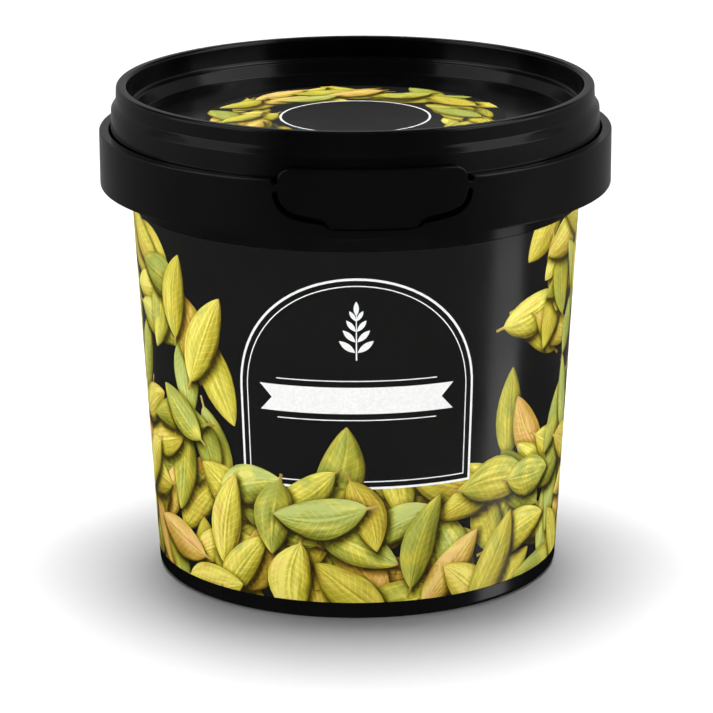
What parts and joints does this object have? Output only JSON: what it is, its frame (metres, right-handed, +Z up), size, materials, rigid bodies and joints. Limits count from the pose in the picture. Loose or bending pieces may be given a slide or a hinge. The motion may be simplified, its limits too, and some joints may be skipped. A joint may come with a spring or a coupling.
{
  "type": "lidded plastic tub",
  "caption": "Round black plastic tub with a tapered wall, a press-on lid with a stacking recess, a tamper ring with a front tear tab, and printed film labels.",
  "frame": {"origin": "centre of the foot, on the surface the tub stands on", "axes": "+Z up along the tub's axis of revolution; the front, with the tear tab, faces -Y"},
  "size_m": [0.118, 0.118, 0.1144],
  "materials": {
    "tub_plastic": "satin black polypropylene, finely textured by the mould",
    "lid_plastic": "semi-gloss black polypropylene, smoother on the panel",
    "wrap_film": "satin printed film: near-black ground with a bed of yellow-green leaves",
    "disc_film": "satin printed film: near-black ground with yellow-green leaves"
  },
  "bodies": {
    "root": {"tub": "tub_plastic", "lid": "lid_plastic", "wrap_label": "wrap_film", "lid_label": "disc_film"}
  },
  "joints": []
}
